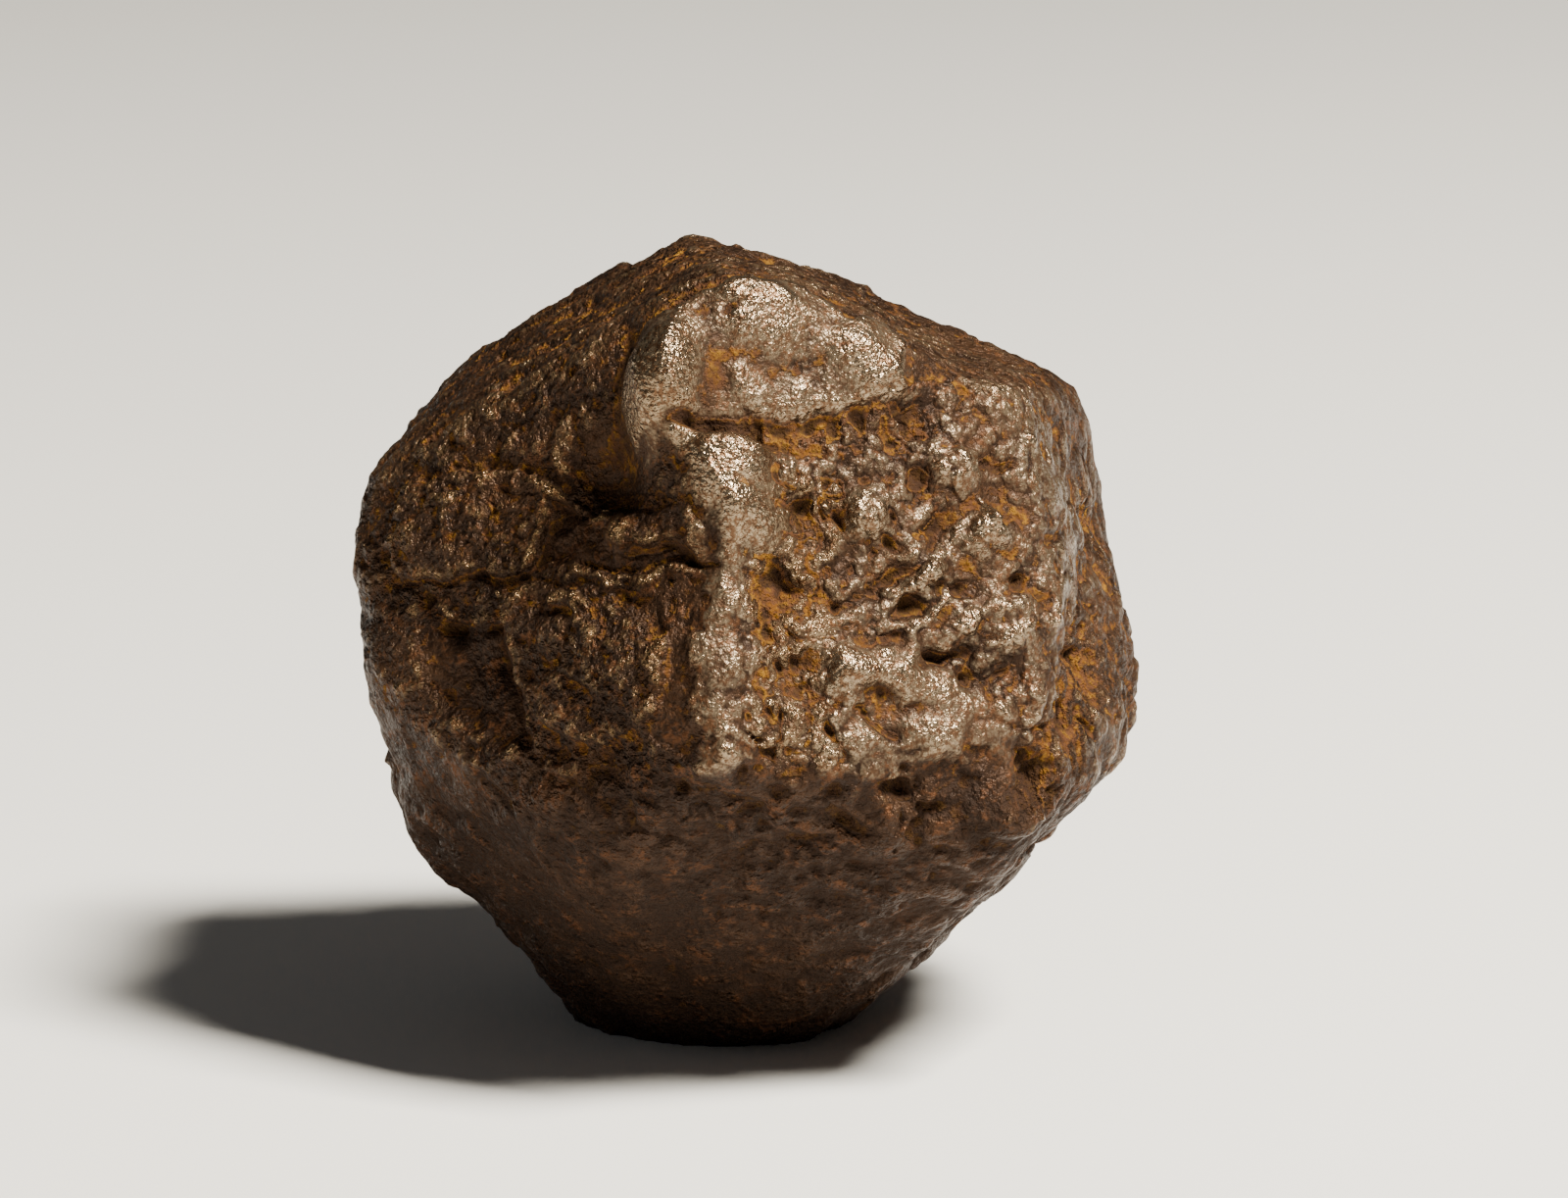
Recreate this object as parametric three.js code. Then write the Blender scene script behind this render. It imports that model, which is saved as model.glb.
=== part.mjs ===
// Worn natural crystal of limonite, twelve-sided in habit, resting on a small flat spot.
// One closed solid: rounded flat faces first, then the lumps, ledges, furrows and pits on them.
// Millimetres. X to the right, Y away from the viewer, Z up; the resting spot is at Z = 0.
import * as THREE from 'three';

// Height of the middle above the resting spot, and the tilt the crystal is looked at from
const CENTRE_HEIGHT = 15;
const VIEW_TILT = 12;

// Mesh: cells along a side of the cube it is swelled from, and how far they crowd to the front
const DIVISIONS = 28;
const CROWDING = 0.25;

// How sharp the edges between faces have stayed, above and below
const UPPER_SHARPNESS = 26;
const LOWER_SHARPNESS = 15;

// Crystal faces: bearing in degrees (0 to the viewer, 90 to the right), tilt up, reach from the centre
const FACES = [
  { name: 'front right', bearing: 23, tilt: 20, reach: 13.9 },
  { name: 'front left', bearing: -38, tilt: 17, reach: 13.8 },
  { name: 'right', bearing: 81, tilt: 11, reach: 13.5 },
  { name: 'back right', bearing: 133, tilt: -12, reach: 13.8 },
  { name: 'back left', bearing: -150, tilt: -16, reach: 14.0 },
  { name: 'left', bearing: -97, tilt: -6, reach: 14.05 },
  { name: 'left shoulder', bearing: -98, tilt: 28, reach: 15.8 },
  { name: 'top right', bearing: 100, tilt: 66, reach: 13.85 },
  { name: 'top left', bearing: -91, tilt: 57, reach: 14.5 },
  { name: 'top back', bearing: 176, tilt: 36, reach: 12.3 },
  { name: 'under front', bearing: 2, tilt: -44, reach: 13.4 },
  { name: 'under right', bearing: 72, tilt: -46, reach: 13.45 },
  { name: 'under left', bearing: -58, tilt: -36, reach: 13.4 },
  { name: 'right corner', bearing: 88, tilt: -24, reach: 14.3 },
  { name: 'under back left', bearing: -112, tilt: -42, reach: 15.5 },
  { name: 'under back', bearing: 170, tilt: -52, reach: 14.2 },
];

// Bulges and hollows placed across, up and towards the viewer: half sizes, rise
const LOBES = [
  { name: 'right lobe', at: [14.0, -1.8, 2.0], half: [2.6, 4.2, 3.4], rise: 1.0 },
  { name: 'notch above the lobe', at: [13.1, 4.8, 0.8], half: [0.9, 1.0, 1.5], rise: -0.8 },
  { name: 'upper end of the recess', at: [12.8, -0.5, 6.4], half: [0.9, 1.5, 1.8], rise: -1.0 },
  { name: 'middle of the recess', at: [12.5, -2.9, 9.0], half: [0.9, 1.7, 1.8], rise: -1.3 },
  { name: 'lower end of the recess', at: [11.6, -5.3, 11.0], half: [0.7, 1.4, 1.4], rise: -1.0 },
  { name: 'left shoulder', at: [-12.6, 5.4, 4.0], half: [2.2, 2.4, 3.0], rise: 0.35 },
  { name: 'lower left flank', at: [-11.5, -7.6, 2.0], half: [2.6, 3.2, 4.0], rise: 1.0 },
  { name: 'foot of the flank', at: [-7.0, -11.8, 2.0], half: [2.6, 3.0, 4.0], rise: 0.6 },
  { name: 'back swelling', at: [4.0, 4.0, -13.0], half: [4.0, 3.2, 4.0], rise: 0.55 },
  { name: 'back hollow', at: [-4.5, -2.5, -13.0], half: [2.8, 3.4, 4.0], rise: -0.6 },
];

// Lumps and hollows of the front: place across and up, half sizes, turn in degrees, rise
const SWELLINGS = [
  { name: 'left end of the polished cap', at: [-3.2, 8.9], half: [1.25, 2.5], turn: -14, rise: 2.1 },
  { name: 'crown of the cap', at: [0.6, 12.0], half: [1.8, 1.4], turn: -15, rise: 0.4 },
  { name: 'right end of the cap', at: [4.5, 10.2], half: [1.9, 1.1], turn: -40, rise: 0.55 },
  { name: 'block under the cap', at: [-0.7, 6.2], half: [1.7, 1.6], turn: 25, rise: 1.4 },
  { name: 'lower end of the block', at: [0.1, 4.4], half: [1.2, 1.0], turn: 0, rise: 0.6 },
  { name: 'knob under the rim', at: [8.8, 4.2], half: [1.1, 0.9], turn: 0, rise: 0.8 },
  { name: 'knob by the wide pit', at: [6.5, 2.9], half: [1.0, 0.8], turn: 20, rise: 0.55 },
  { name: 'knob above the band', at: [7.9, 0.9], half: [0.9, 0.8], turn: 0, rise: 0.5 },
  { name: 'knob inside the rim', at: [9.7, 1.0], half: [0.9, 1.2], turn: 0, rise: 0.5 },
  { name: 'knob at the rim', at: [7.6, 6.6], half: [1.0, 0.8], turn: 0, rise: 0.5 },
  { name: 'low knob', at: [3.6, -0.9], half: [1.0, 0.8], turn: 0, rise: 0.5 },
  { name: 'knob beside the rough strip', at: [4.4, 4.9], half: [0.9, 1.0], turn: 0, rise: 0.7 },
  { name: 'upper smooth band', at: [5.2, -1.0], half: [3.2, 0.8], turn: -22, rise: 0.5 },
  { name: 'lower smooth band', at: [7.0, -3.6], half: [3.8, 1.2], turn: 8, rise: 0.35 },
  { name: 'hollow beside the cap', at: [-5.2, 6.7], half: [1.6, 1.7], turn: 10, rise: -1.5 },
  { name: 'ochre pocket', at: [0.9, 2.0], half: [0.8, 1.0], turn: 0, rise: -0.8 },
];

// Ledges with a step around them: outline across and up, rise
const STEP_WIDTH = 0.5;
const PLATES = [
  {
    name: 'polished cap',
    outline: [[-4.4, 10.1], [-4.1, 11.1], [-1.9, 12.9], [-0.2, 13.4], [1.7, 13.1], [3.9, 11.9], [5.6, 11.0],
      [5.9, 9.4], [3.4, 8.6], [1.2, 8.2], [-2.4, 8.1], [-4.0, 7.1], [-4.5, 8.6]],
    rise: 0.5,
  },
  {
    name: 'olive plate',
    outline: [[-7.7, 5.8], [-6.2, 5.2], [-5.1, 4.0], [-2.8, 3.8], [-1.9, 3.2], [-4.2, 2.9],
      [-7.1, 3.1], [-8.0, 3.0], [-7.5, 4.4]],
    rise: -0.38,
  },
  {
    name: 'lower left plate',
    outline: [[-12.4, 0.5], [-11.0, 1.0], [-9.7, 0.7], [-9.3, -1.2], [-8.8, -3.2], [-9.7, -4.1],
      [-11.3, -2.6], [-12.2, -1.2]],
    rise: -0.36,
  },
  {
    name: 'strip beside the front edge',
    outline: [[-3.1, 0.3], [-2.3, 0.7], [-2.2, -4.4], [-3.9, -3.2], [-3.3, -1.5]],
    rise: -0.22,
  },
  {
    name: 'golden crust',
    outline: [[-13.0, 5.8], [-10.8, 6.7], [-7.5, 6.5], [-6.9, 5.8], [-7.5, 4.7], [-7.9, 3.6],
      [-8.0, 2.9], [-10.8, 2.5], [-13.3, 2.5], [-13.9, 3.6]],
    rise: 0.28,
  },
  {
    name: 'lower crust',
    outline: [[-9.7, 2.1], [-7.5, 2.5], [-6.4, 1.8], [-5.3, 0.3], [-3.1, 0.1], [-3.4, -2.2],
      [-4.6, -3.2], [-6.8, -4.8], [-8.6, -4.1], [-9.0, -1.5], [-9.1, 0.3]],
    rise: 0.26,
  },
];

// Furrows and crests along a line: points across and up, half width, rise
const LINES = [
  { name: 'furrow under the cap', points: [[-2.6, 8.1], [-0.9, 7.9], [0.9, 7.4]], half: 0.4, rise: -0.36 },
  {
    name: 'ragged ledge under the cap',
    points: [[1.8, 7.4], [3.1, 7.9], [4.5, 8.3], [5.7, 8.9]],
    half: 0.4,
    rise: -0.2,
  },
  { name: 'crest of the block', points: [[-2.3, 7.3], [-1.2, 7.2], [0.2, 6.8]], half: 0.4, rise: 0.22 },
  {
    name: 'crack across the left face',
    points: [[-13.5, 2.2], [-10.8, 2.4], [-8.2, 2.9], [-4.2, 2.8], [-1.2, 3.2]],
    half: 0.35,
    rise: -0.22,
  },
  { name: 'dark step', points: [[-9.7, 0.7], [-9.3, -0.8], [-8.6, -3.7]], half: 0.4, rise: -0.4 },
  { name: 'diagonal furrow', points: [[3.1, 1.5], [4.6, 2.2], [7.1, 4.0]], half: 0.35, rise: -0.35 },
  {
    name: 'rim of the front right face',
    points: [[10.5, 7.6], [11.4, 6.1], [11.8, 4.3], [11.9, 2.1], [11.3, -1.1]],
    half: 0.5,
    rise: 0.28,
  },
  {
    name: 'worn front edge',
    points: [[-0.7, 4.2], [-1.1, 2.4], [-1.2, -0.5], [-0.9, -4.8]],
    half: 0.8,
    rise: 0.25,
  },
];

// Pits of the front: place across and up, half sizes, turn in degrees, depth
const PITS = [
  { at: [5.8, 1.3], half: [0.65, 0.6], turn: 0, depth: 0.8 },
  { at: [5.3, 0.1], half: [0.5, 0.5], turn: 0, depth: 0.4 },
  { at: [7.2, 4.6], half: [0.7, 0.5], turn: 30, depth: 0.4 },
  { at: [6.3, 8.9], half: [0.5, 0.7], turn: -30, depth: 0.45 },
  { at: [2.2, 4.6], half: [0.6, 0.9], turn: 10, depth: 0.3 },
  { at: [3.0, 2.9], half: [0.6, 0.5], turn: 20, depth: 0.3 },
  { at: [7.6, -0.5], half: [0.8, 0.4], turn: -10, depth: 0.6 },
  { at: [5.2, 4.2], half: [0.45, 0.7], turn: 0, depth: 0.35 },
  { at: [9.2, 6.9], half: [0.7, 0.4], turn: 0, depth: 0.4 },
  { at: [10.1, 2.5], half: [0.6, 0.4], turn: -35, depth: 0.4 },
  { at: [5.8, -5.7], half: [0.9, 0.5], turn: -20, depth: 0.7 },
  { at: [3.4, -6.8], half: [0.9, 0.6], turn: -15, depth: 0.45 },
  { at: [-0.2, -6.2], half: [0.9, 0.5], turn: -20, depth: 0.4 },
  { at: [-11.8, 1.0], half: [0.7, 0.5], turn: -20, depth: 0.45 },
];

// Relief found all over: longest wave and height, plate size and step, pit spacing and depth
const SWELL = [{ wave: 6.5, rise: 0.3 }, { wave: 2.7, rise: 0.16 }];
const TERRACE = { size: 4.6, step: 0.24, edge: 0.5 };
const POCK = { spacing: 2.6, radius: 0.75, depth: 0.5, share: 0.5 };

const COLOUR = '#4a3324';

const radians = (degrees) => (degrees * Math.PI) / 180;
const dot = (a, b) => a[0] * b[0] + a[1] * b[1] + a[2] * b[2];
const scaled = (a, k) => [a[0] * k, a[1] * k, a[2] * k];

function facing(bearing, tilt) {
  const b = radians(bearing);
  const t = radians(tilt);
  return [Math.sin(b) * Math.cos(t), -Math.cos(b) * Math.cos(t), Math.sin(t)];
}

function smooth(low, high, x) {
  const t = Math.min(Math.max((x - low) / (high - low), 0), 1);
  return t * t * (3 - 2 * t);
}

// Right, up and towards the viewer, as the crystal is seen from the front
const RIGHT = [1, 0, 0];
const TOWARD = facing(0, VIEW_TILT);
const UP = [0, Math.sin(radians(VIEW_TILT)), Math.cos(radians(VIEW_TILT))];
const PLANES = FACES.map((face) => ({ normal: facing(face.bearing, face.tilt), reach: face.reach }));

// Repeatable number from 0 to 1 for a lattice corner
function scatter(x, y, z, seed) {
  const s = Math.sin(x * 127.1 + y * 311.7 + z * 74.7 + seed * 53.3) * 43758.5453;
  return s - Math.floor(s);
}

// Smooth random waves from -1 to 1
function waves(point, wave, seed) {
  const q = scaled(point, 1 / wave);
  const cell = q.map(Math.floor);
  const part = q.map((value, k) => {
    const f = value - cell[k];
    return f * f * f * (f * (f * 6 - 15) + 10);
  });
  let total = 0;
  for (let corner = 0; corner < 8; corner += 1) {
    const step = [corner & 1, (corner >> 1) & 1, (corner >> 2) & 1];
    let weight = 1;
    step.forEach((one, k) => {
      weight *= one ? part[k] : 1 - part[k];
    });
    total += weight * scatter(cell[0] + step[0], cell[1] + step[1], cell[2] + step[2], seed);
  }
  return 2 * total - 1;
}

// Nearest scattered seed: distance to it, how much farther the next one is, and its number
function nearestSeed(point, size, seed) {
  const q = scaled(point, 1 / size);
  const cell = q.map(Math.floor);
  const found = { near: Infinity, next: Infinity, mark: 0 };
  for (let k = 0; k < 27; k += 1) {
    const c = [cell[0] + (k % 3) - 1, cell[1] + (Math.floor(k / 3) % 3) - 1, cell[2] + Math.floor(k / 9) - 1];
    const gap = Math.hypot(
      q[0] - c[0] - scatter(...c, seed + 1),
      q[1] - c[1] - scatter(...c, seed + 2),
      q[2] - c[2] - scatter(...c, seed + 3),
    );
    if (gap < found.near) {
      found.next = found.near;
      found.near = gap;
      found.mark = scatter(...c, seed + 4);
    } else if (gap < found.next) {
      found.next = gap;
    }
  }
  return { near: found.near * size, lead: (found.next - found.near) * size, mark: found.mark };
}

// Distance from the centre to the rounded flat faces: a soft minimum over all the faces
function faceRadius(direction) {
  const sharpness = LOWER_SHARPNESS
    + (UPPER_SHARPNESS - LOWER_SHARPNESS) * smooth(-0.7, 0.1, direction[2]);
  let total = 0;
  PLANES.forEach(({ normal, reach }) => {
    total += Math.max(dot(normal, direction) / reach, 0) ** sharpness;
  });
  return total ** (-1 / sharpness);
}

function segmentDistance(s, t, a, b) {
  const along = [b[0] - a[0], b[1] - a[1]];
  const length = along[0] ** 2 + along[1] ** 2;
  const k = ((s - a[0]) * along[0] + (t - a[1]) * along[1]) / length;
  const held = Math.min(Math.max(k, 0), 1);
  return Math.hypot(s - a[0] - held * along[0], t - a[1] - held * along[1]);
}

function lineDistance(s, t, points) {
  let best = Infinity;
  for (let k = 1; k < points.length; k += 1) {
    best = Math.min(best, segmentDistance(s, t, points[k - 1], points[k]));
  }
  return best;
}

// Positive inside the outline, negative outside
function insideDistance(s, t, outline) {
  let within = false;
  outline.forEach((b, k) => {
    const a = outline[(k + outline.length - 1) % outline.length];
    if ((b[1] > t) !== (a[1] > t) && s < ((a[0] - b[0]) * (t - b[1])) / (a[1] - b[1]) + b[0]) {
      within = !within;
    }
  });
  const distance = lineDistance(s, t, [...outline, outline[0]]);
  return within ? distance : -distance;
}

// One blunt hill of height 1 at its middle
function lump(s, t, at, half, turn) {
  const a = radians(turn);
  const x = ((s - at[0]) * Math.cos(a) + (t - at[1]) * Math.sin(a)) / half[0];
  const y = ((t - at[1]) * Math.cos(a) - (s - at[0]) * Math.sin(a)) / half[1];
  return Math.exp(-((x * x + y * y) ** 1.5));
}

// Everything on the front, as height above the faces
function frontRelief(s, t) {
  let rise = 0;
  SWELLINGS.forEach((one) => {
    rise += one.rise * lump(s, t, one.at, one.half, one.turn);
  });
  PITS.forEach((one) => {
    rise -= one.depth * lump(s, t, one.at, one.half, one.turn);
  });
  PLATES.forEach((one) => {
    rise += one.rise * smooth(-STEP_WIDTH, STEP_WIDTH, insideDistance(s, t, one.outline));
  });
  LINES.forEach((one) => {
    rise += one.rise * Math.exp(-((lineDistance(s, t, one.points) / one.half) ** 2));
  });
  return rise;
}

// Waves, flaked terraces and scattered pits, as height above the faces
function coarseRelief(point) {
  let rise = 0;
  SWELL.forEach((one, k) => {
    rise += one.rise * waves(point, one.wave, k);
  });
  const terrace = nearestSeed(point, TERRACE.size, 20);
  rise += TERRACE.step * (2 * terrace.mark - 1) * smooth(0, TERRACE.edge, terrace.lead);
  const pock = nearestSeed(point, POCK.spacing, 40);
  if (pock.mark < POCK.share) {
    rise -= POCK.depth * Math.exp(-((pock.near / POCK.radius) ** 2));
  }
  return rise;
}

function lobeRelief(s, t, w) {
  let rise = 0;
  LOBES.forEach(({ at, half, rise: height }) => {
    const x = (s - at[0]) / half[0];
    const y = (t - at[1]) / half[1];
    const z = (w - at[2]) / half[2];
    rise += height * Math.exp(-x * x - y * y - z * z);
  });
  return rise;
}

// Surface point in a direction, measured from the centre, cut flat where the crystal rests
function surfacePoint(direction) {
  const radius = faceRadius(direction);
  const point = scaled(direction, radius);
  const s = dot(point, RIGHT);
  const t = dot(point, UP);
  const w = dot(point, TOWARD);
  const front = smooth(0.5, 4.5, w);
  const relief = front * frontRelief(s, t) + lobeRelief(s, t, w) + (1 - 0.45 * front) * coarseRelief(point);
  const full = scaled(direction, radius + relief);
  if (full[2] > -CENTRE_HEIGHT) {
    return [full[0], full[1], full[2] + CENTRE_HEIGHT];
  }
  const cut = -CENTRE_HEIGHT / full[2];
  return [full[0] * cut, full[1] * cut, 0];
}

// Directions all round: the six sides of a cube swelled to a sphere, corners shared
function directionGrid(divisions) {
  const spread = (k) => Math.tan(radians(45) * ((2 * k) / divisions - 1));
  const numbers = new Map();
  const directions = [];
  const quads = [];
  const corner = (axis, side, i, j) => {
    const place = [0, 0, 0];
    place[axis] = side > 0 ? divisions : 0;
    place[(axis + 1) % 3] = i;
    place[(axis + 2) % 3] = j;
    const key = place.join(' ');
    if (!numbers.has(key)) {
      numbers.set(key, directions.length);
      const even = place.map(spread);
      const size = Math.hypot(...even);
      const raw = even.map((value, k) => value / size + CROWDING * TOWARD[k]);
      directions.push(scaled(raw, 1 / Math.hypot(...raw)));
    }
    return numbers.get(key);
  };
  for (let axis = 0; axis < 3; axis += 1) {
    for (const side of [1, -1]) {
      for (let i = 0; i < divisions; i += 1) {
        for (let j = 0; j < divisions; j += 1) {
          const a = corner(axis, side, i, j);
          const b = corner(axis, side, i + 1, j);
          const c = corner(axis, side, i + 1, j + 1);
          const d = corner(axis, side, i, j + 1);
          quads.push(side > 0 ? [a, b, c, d] : [d, c, b, a]);
        }
      }
    }
  }
  return { directions, quads };
}

// Two triangles for each quad, cut along its shorter diagonal so that ledges stay clean
function splitQuads(quads, points) {
  const apart = (a, b) => Math.hypot(...points[a].map((value, k) => value - points[b][k]));
  return quads.flatMap(([a, b, c, d]) => (
    apart(a, c) <= apart(b, d) ? [a, b, c, a, c, d] : [a, b, d, b, c, d]
  ));
}

const { directions, quads } = directionGrid(DIVISIONS);
const points = directions.map(surfacePoint);
const geometry = new THREE.BufferGeometry();
geometry.setAttribute('position', new THREE.Float32BufferAttribute(points.flat(), 3));
geometry.setIndex(splitQuads(quads, points));
geometry.computeVertexNormals();

const crystal = new THREE.Mesh(
  geometry,
  new THREE.MeshStandardMaterial({ color: COLOUR, roughness: 0.5, metalness: 0.4 }),
);
crystal.name = 'limonite_crystal';

const part = new THREE.Group();
part.name = 'limonite_crystal_specimen';
part.add(crystal);

export default part;
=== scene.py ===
"""A worn limonite crystal on a plain pale floor, laid out as a Blender add-on and run as a script.

Metres, X to the right, Y away from the viewer, Z up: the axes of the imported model. The tables
of faces and relief are in millimetres from the middle of the crystal.
"""

import bpy
import numpy as np
from mathutils import Matrix, Vector


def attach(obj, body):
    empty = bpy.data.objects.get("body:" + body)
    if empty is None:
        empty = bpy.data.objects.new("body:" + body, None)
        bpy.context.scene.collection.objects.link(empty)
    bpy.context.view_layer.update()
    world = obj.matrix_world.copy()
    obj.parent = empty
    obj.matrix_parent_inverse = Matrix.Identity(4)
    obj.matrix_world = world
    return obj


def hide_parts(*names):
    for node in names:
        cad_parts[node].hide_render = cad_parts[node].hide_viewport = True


bl_info = {
    "name": "Limonite Crystal",
    "version": (1, 0, 0),
    "blender": (4, 5, 0),
    "location": "3D View > Sidebar > Crystal",
    "description": "Builds a worn limonite crystal, its stone material, a pale floor, lights and a camera",
    "category": "Add Mesh",
}

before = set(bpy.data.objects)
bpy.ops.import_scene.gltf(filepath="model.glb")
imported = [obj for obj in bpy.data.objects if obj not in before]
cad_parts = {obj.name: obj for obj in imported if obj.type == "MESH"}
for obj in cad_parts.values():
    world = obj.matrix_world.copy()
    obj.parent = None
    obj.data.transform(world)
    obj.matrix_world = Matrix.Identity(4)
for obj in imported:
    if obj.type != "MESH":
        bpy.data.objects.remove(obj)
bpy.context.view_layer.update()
MILLIMETRE = 0.001
VIEW_TILT = 12.0

# Crystal faces: name, bearing in degrees (0 to the viewer, 90 to the right), tilt up, reach
FACES = (
    ("front right", 23, 20, 13.9),
    ("front left", -38, 17, 13.8),
    ("right", 81, 11, 13.5),
    ("back right", 133, -12, 13.8),
    ("back left", -150, -16, 14.0),
    ("left", -97, -6, 14.05),
    ("left shoulder", -98, 28, 15.8),
    ("top right", 100, 66, 13.85),
    ("top left", -91, 57, 14.5),
    ("top back", 176, 36, 12.3),
    ("under front", 2, -44, 13.4),
    ("under right", 72, -46, 13.45),
    ("under left", -58, -36, 13.4),
    ("right corner", 88, -24, 14.3),
    ("under back left", -112, -42, 15.5),
    ("under back", 170, -52, 14.2),
)

# Bulges and hollows placed across, up and towards the viewer: half sizes, rise, ochre, shine
LOBES = (
    ("right lobe", (14.0, -1.8, 2.0), (2.6, 4.2, 3.4), 1.0, 0.55, -0.4),
    ("notch above the lobe", (13.1, 4.8, 0.8), (0.9, 1.0, 1.5), -0.8, 2.4, -0.6),
    ("streak below the notch", (13.7, 2.8, 0.0), (0.5, 1.2, 1.6), -0.15, 1.4, -0.4),
    ("upper end of the recess", (12.8, -0.5, 6.4), (1.1, 1.5, 1.8), -1.0, 2.6, -1.2),
    ("middle of the recess", (12.5, -2.9, 9.0), (1.1, 1.7, 1.8), -1.3, 2.6, -1.2),
    ("lower end of the recess", (11.6, -5.3, 11.0), (0.7, 1.4, 1.4), -1.0, 2.6, -1.2),
    ("left shoulder", (-12.6, 5.4, 4.0), (2.2, 2.4, 3.0), 0.35, 0.1, 0.0),
    ("lower left flank", (-11.5, -7.6, 2.0), (2.6, 3.2, 4.0), 1.0, 0.0, 0.1),
    ("foot of the flank", (-7.0, -11.8, 2.0), (2.6, 3.0, 4.0), 0.6, 0.0, 0.1),
    ("back swelling", (4.0, 4.0, -13.0), (4.0, 3.2, 4.0), 0.55, 0.0, 0.3),
    ("back hollow", (-4.5, -2.5, -13.0), (2.8, 3.4, 4.0), -0.6, 0.4, -0.3),
)

# Lumps and hollows of the front: across, up, half sizes, turn, rise, ochre, shine
SWELLINGS = (
    ("left end of the polished cap", (-3.2, 8.9), (1.25, 2.5), -14, 2.1, -0.3, 0.6),
    ("crown of the cap", (0.6, 12.0), (1.8, 1.4), -15, 0.4, -0.2, 0.5),
    ("right end of the cap", (4.5, 10.2), (1.9, 1.1), -40, 0.55, -0.2, 0.5),
    ("block under the cap", (-0.7, 6.2), (1.7, 1.6), 25, 1.4, -0.3, 1.0),
    ("lower end of the block", (0.1, 4.4), (1.2, 1.0), 0, 0.6, -0.2, 0.5),
    ("knob under the rim", (8.8, 4.2), (1.1, 0.9), 0, 0.8, -0.1, 0.6),
    ("knob by the wide pit", (6.5, 2.9), (1.0, 0.8), 20, 0.55, -0.1, 0.5),
    ("knob above the band", (7.9, 0.9), (0.9, 0.8), 0, 0.5, -0.1, 0.5),
    ("knob inside the rim", (9.7, 1.0), (0.9, 1.2), 0, 0.5, 0.0, 0.4),
    ("knob at the rim", (7.6, 6.6), (1.0, 0.8), 0, 0.5, 0.0, 0.3),
    ("low knob", (3.6, -0.9), (1.0, 0.8), 0, 0.5, 0.0, 0.4),
    ("knob beside the rough strip", (4.4, 4.9), (0.9, 1.0), 0, 0.7, 0.0, 0.5),
    ("upper smooth band", (5.2, -1.0), (3.2, 0.8), -22, 0.5, -0.3, 0.7),
    ("lower smooth band", (6.4, -3.4), (3.6, 1.2), 8, 0.35, -0.4, 0.45),
    # Hollow beside the cap: a real hollow, with lowered shine and ochre as painted shade in it
    ("hollow beside the cap", (-5.2, 6.7), (1.6, 1.7), 10, -1.5, -0.4, -0.5),
    ("ochre pocket", (0.9, 2.0), (0.8, 1.0), 0, -0.8, 1.6, -1.0),
)

# Ledges with a step around them: outline across and up, rise, ochre, shine
PLATES = (
    ("polished cap", ((-4.4, 10.1), (-4.1, 11.1), (-1.9, 12.9), (-0.2, 13.4), (1.7, 13.1), (3.9, 11.9),
                      (5.6, 11.0), (5.9, 9.4), (3.4, 8.6), (1.2, 8.2), (-2.4, 8.1), (-4.0, 7.1),
                      (-4.5, 8.6)), 0.36, -0.3, 0.4),
    ("olive plate", ((-7.7, 5.8), (-6.2, 5.2), (-5.1, 4.0), (-2.8, 3.8), (-1.9, 3.2), (-4.2, 2.9),
                     (-7.1, 3.1), (-8.0, 3.0), (-7.5, 4.4)), -0.38, -0.3, -0.5),
    ("lower left plate", ((-12.4, 0.5), (-11.0, 1.0), (-9.7, 0.7), (-9.3, -1.2), (-8.8, -3.2), (-9.7, -4.1),
                          (-11.3, -2.6), (-12.2, -1.2)), -0.36, -0.3, -0.5),
    ("plate below the crack", ((-6.4, 2.5), (-4.6, 2.1), (-1.7, 2.9), (-1.7, 0.7), (-2.8, 0.3), (-4.2, 0.7),
                               (-5.7, 1.8)), -0.16, -0.2, -0.5),
    ("strip beside the front edge", ((-3.1, 0.3), (-2.3, 0.7), (-2.2, -4.4), (-3.9, -3.2), (-3.3, -1.5)),
     -0.22, -0.3, -0.5),
    ("dark block", ((-5.7, 5.2), (-2.4, 5.1), (-1.7, 4.3), (-2.4, 3.6), (-4.2, 4.1), (-5.5, 4.3)),
     0.26, 0.15, -0.3),
    ("golden crust", ((-13.0, 5.8), (-10.8, 6.7), (-7.5, 6.5), (-6.9, 5.8), (-7.5, 4.7), (-7.9, 3.6),
                      (-8.0, 2.9), (-10.8, 2.5), (-13.3, 2.5), (-13.9, 3.6)), 0.28, 0.3, -0.1),
    ("lower crust", ((-9.7, 2.1), (-7.5, 2.5), (-6.4, 1.8), (-5.3, 0.3), (-3.1, 0.1), (-3.4, -2.2),
                     (-4.6, -3.2), (-6.8, -4.8), (-8.6, -4.1), (-9.0, -1.5), (-9.1, 0.3)), 0.26, 0.1, 0.0),
    ("weathered patch under the cap", ((-2.0, 8.0), (0.5, 8.7), (3.5, 8.4), (5.5, 9.1), (7.3, 8.4),
                                       (6.0, 7.1), (3.5, 6.9), (0.5, 7.4)), -0.08, 0.4, -0.3),
    ("rough strip", ((-0.4, 5.8), (0.6, 5.9), (1.9, 6.6), (3.4, 6.3), (3.6, 4.6), (2.9, 3.2), (3.2, 1.4),
                     (2.6, -0.6), (3.0, -2.4), (3.8, -4.6), (1.0, -5.2), (0.1, -3.0), (0.3, 0.2),
                     (-0.3, 2.6)), -0.12, 0.55, 0.25),
)

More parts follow.
